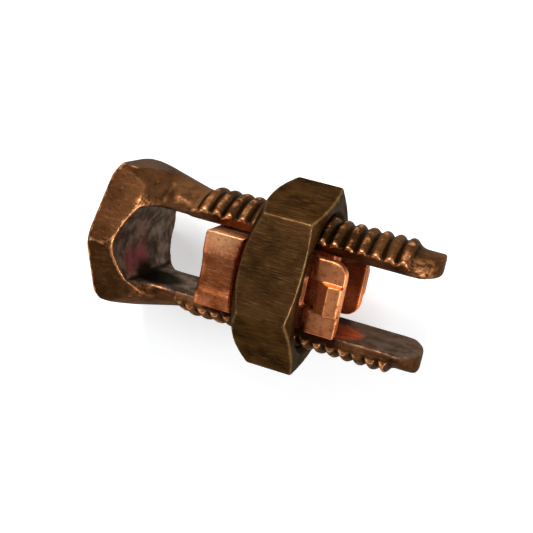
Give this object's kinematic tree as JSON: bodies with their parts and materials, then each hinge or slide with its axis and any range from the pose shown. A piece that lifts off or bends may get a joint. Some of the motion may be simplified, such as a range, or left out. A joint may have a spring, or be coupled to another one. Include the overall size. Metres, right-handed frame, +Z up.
{
  "type": "split bolt connector",
  "caption": "Split bolt wire connector: a forged hex-headed bolt split into threaded legs, a hex nut, and a pressure bar that clamps conductors against the head.",
  "frame": {"origin": "on the floor below the middle of the connector's length, with the connector lying on one flat of its nut", "axes": "+X along the bolt from the head to the leg tips, +Z up, +Y across, towards the leg that the front prong's round corner faces"},
  "size_m": [0.0318, 0.0184, 0.0159],
  "materials": {
    "bolt_bronze": "forged brown copper alloy, rubbed bright on its edges, stained in the slot",
    "nut_bronze": "dark olive brown bronze with brushed flats and worn corners",
    "bar_copper": "bright orange copper with a satin stamped surface"
  },
  "bodies": {
    "bolt": {"split_bolt": "bolt_bronze"},
    "bar": {"pressure_bar": "bar_copper"},
    "nut": {"hex_nut": "nut_bronze"}
  },
  "joints": [
    {"name": "bar_slide", "type": "slide", "parent": "bolt", "child": "bar", "axis": [1, 0, 0], "range_m": [-0.0061, 0.0115]},
    {"name": "nut_spin", "type": "hinge", "parent": "bar", "child": "nut", "pos_m": [0.0022, 0, 0.00794], "axis": [1, 0, 0], "range_deg": [-1710, 3240]}
  ],
  "couplings": [
    {"joint": "bar_slide", "follows": "nut_spin", "m_per_rad": 0.00020213}
  ]
}
